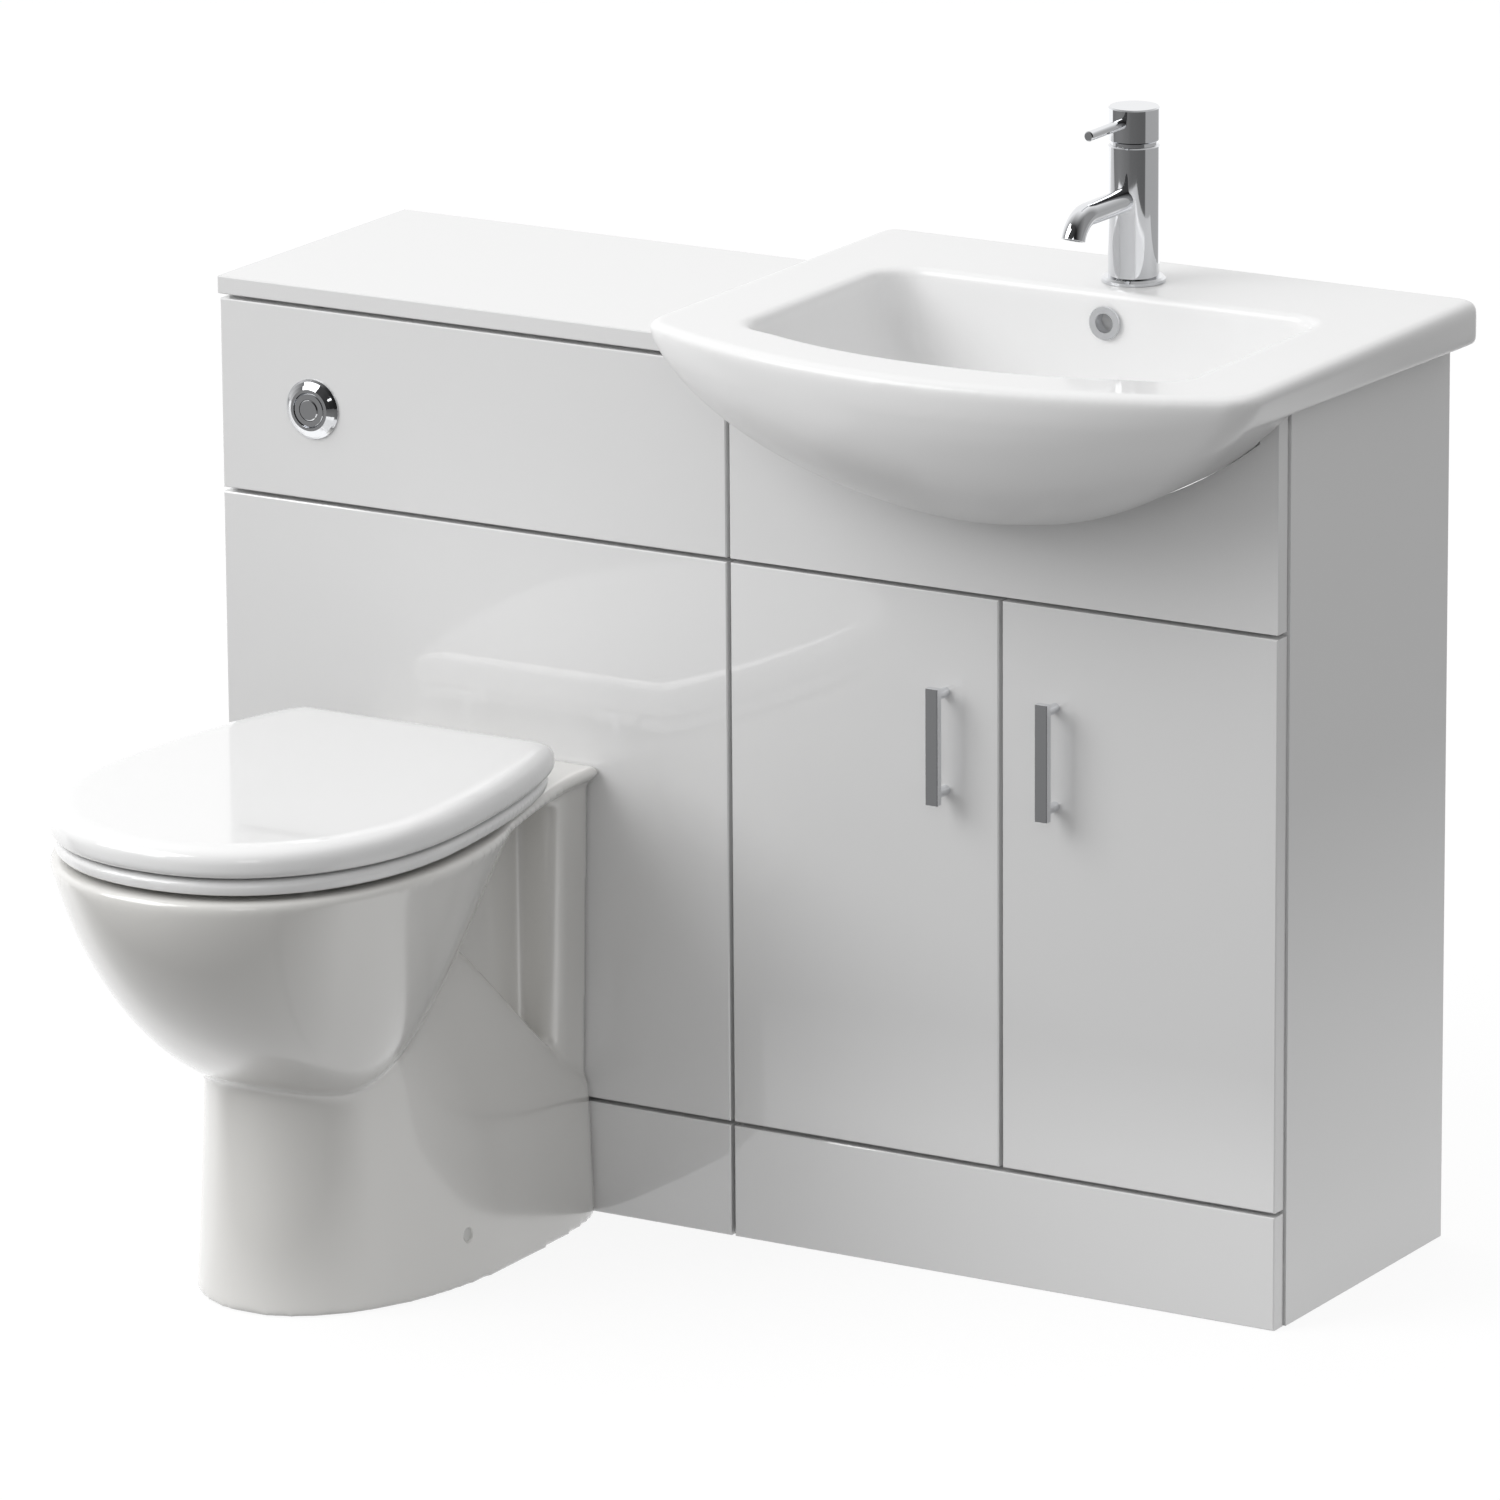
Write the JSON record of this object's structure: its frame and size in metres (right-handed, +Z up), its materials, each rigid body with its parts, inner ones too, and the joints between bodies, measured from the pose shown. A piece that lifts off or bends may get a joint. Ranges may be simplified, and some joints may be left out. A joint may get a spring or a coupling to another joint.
{
  "type": "toilet and basin combination unit",
  "caption": "Back-to-wall toilet with a boxed-in cistern beside a two-door cupboard with a semi-recessed basin and a lever mixer tap.",
  "frame": {"origin": "on the floor, at the wall, on the plane where the toilet cabinet and the basin cabinet meet", "axes": "+X to the right along the wall seen from the front, +Y into the wall, +Z up; the fronts face -Y"},
  "size_m": [1.079, 0.845, 0.987],
  "materials": {
    "white_board": "gloss lacquer",
    "glazed_white": "gloss glaze",
    "seat_white": "gloss",
    "chrome": "polished",
    "zinc_steel": "zinc plated",
    "brass": "turned",
    "white_plastic": "satin",
    "blue_plastic": "satin",
    "grey_plastic": "satin",
    "black_rubber": "matt",
    "soft_buffer": "matt"
  },
  "bodies": {
    "frame": {"wc_sides": "white_board", "wc_front_rails": "white_board", "wc_back_rails": "white_board", "worktop": "white_board", "wc_upper_panel": "white_board", "wc_lower_panel": "white_board", "wc_plinth": "white_board", "vanity_sides": "white_board", "vanity_base": "white_board", "vanity_front_rail": "white_board", "vanity_back_rail": "white_board", "vanity_back_panel": "white_board", "vanity_fascia": "white_board", "vanity_plinth": "white_board", "panel_clips": "white_plastic", "hinge_arms": "zinc_steel", "door_buffers": "soft_buffer", "basin": "glazed_white", "overflow_ring": "chrome", "waste_body": "chrome", "waste_nut": "white_plastic", "bottle_trap": "white_plastic", "trap_outlet": "white_plastic", "tap_body": "chrome", "tap_aerator": "grey_plastic", "tap_cartridge": "grey_plastic", "tap_back_nut": "brass", "pan": "glazed_white", "pan_connector": "black_rubber", "pan_screws": "zinc_steel", "pan_screw_caps": "white_plastic", "floor_brackets": "zinc_steel", "seat_hinges": "chrome", "cistern_tank": "white_plastic", "cistern_lid": "white_plastic", "flush_valve": "blue_plastic", "flush_nut": "white_plastic", "flush_pipe": "white_plastic", "flush_cone": "black_rubber", "fill_valve": "blue_plastic", "fill_nut": "white_plastic", "button_bezel": "chrome", "button_nut": "white_plastic"},
    "left_door": {"left_door": "white_board", "left_handle": "chrome", "left_hinge_cups": "zinc_steel"},
    "right_door": {"right_door": "white_board", "right_handle": "chrome", "right_hinge_cups": "zinc_steel"},
    "seat_ring": {"seat_ring": "seat_white", "ring_buffers": "soft_buffer"},
    "seat_lid": {"seat_lid": "seat_white", "lid_buffers": "soft_buffer"},
    "full_button": {"full_flush_button": "chrome"},
    "half_button": {"half_flush_button": "chrome"},
    "tap_swivel": {"tap_spindle": "chrome"},
    "tap_lever": {"tap_cap": "chrome", "tap_lever": "chrome"},
    "waste_plug": {"waste_plug": "chrome"},
    "float_arm": {"float_arm": "blue_plastic"}
  },
  "joints": [
    {"name": "left_door_hinge", "type": "hinge", "parent": "frame", "child": "left_door", "pos_m": [0.0019, -0.303, 0.3533], "axis": [0, 0, -1], "range_deg": [0, 95]},
    {"name": "right_door_hinge", "type": "hinge", "parent": "frame", "child": "right_door", "pos_m": [0.5311, -0.303, 0.3533], "axis": [0, 0, 1], "range_deg": [0, 95]},
    {"name": "seat_ring_hinge", "type": "hinge", "parent": "frame", "child": "seat_ring", "pos_m": [-0.2495, -0.401, 0.42], "axis": [1, 0, 0], "range_deg": [-95, 0]},
    {"name": "seat_lid_hinge", "type": "hinge", "parent": "seat_ring", "child": "seat_lid", "pos_m": [-0.2495, -0.401, 0.42], "axis": [-1, 0, 0], "range_deg": [0, 95]},
    {"name": "full_flush", "type": "slide", "parent": "frame", "child": "full_button", "axis": [0, 1, 0], "range_m": [0, 0.004], "stiffness_N_per_m": 300, "springref_m": -0.002},
    {"name": "half_flush", "type": "slide", "parent": "frame", "child": "half_button", "axis": [0, 1, 0], "range_m": [0, 0.004], "stiffness_N_per_m": 300, "springref_m": -0.002},
    {"name": "tap_swivel", "type": "hinge", "parent": "frame", "child": "tap_swivel", "pos_m": [0.271, -0.08, 0.9575], "axis": [0, 0, 1], "range_deg": [-45, 45]},
    {"name": "tap_tilt", "type": "hinge", "parent": "tap_swivel", "child": "tap_lever", "pos_m": [0.271, -0.08, 0.9705], "axis": [-1, 0, 0], "range_deg": [0, 18]},
    {"name": "plug_lift", "type": "slide", "parent": "frame", "child": "waste_plug", "axis": [0, 0, 1], "range_m": [0, 0.006]},
    {"name": "float_swing", "type": "hinge", "parent": "frame", "child": "float_arm", "pos_m": [-0.1295, -0.1, 0.677], "axis": [0, 1, 0], "range_deg": [-35, 0]}
  ]
}
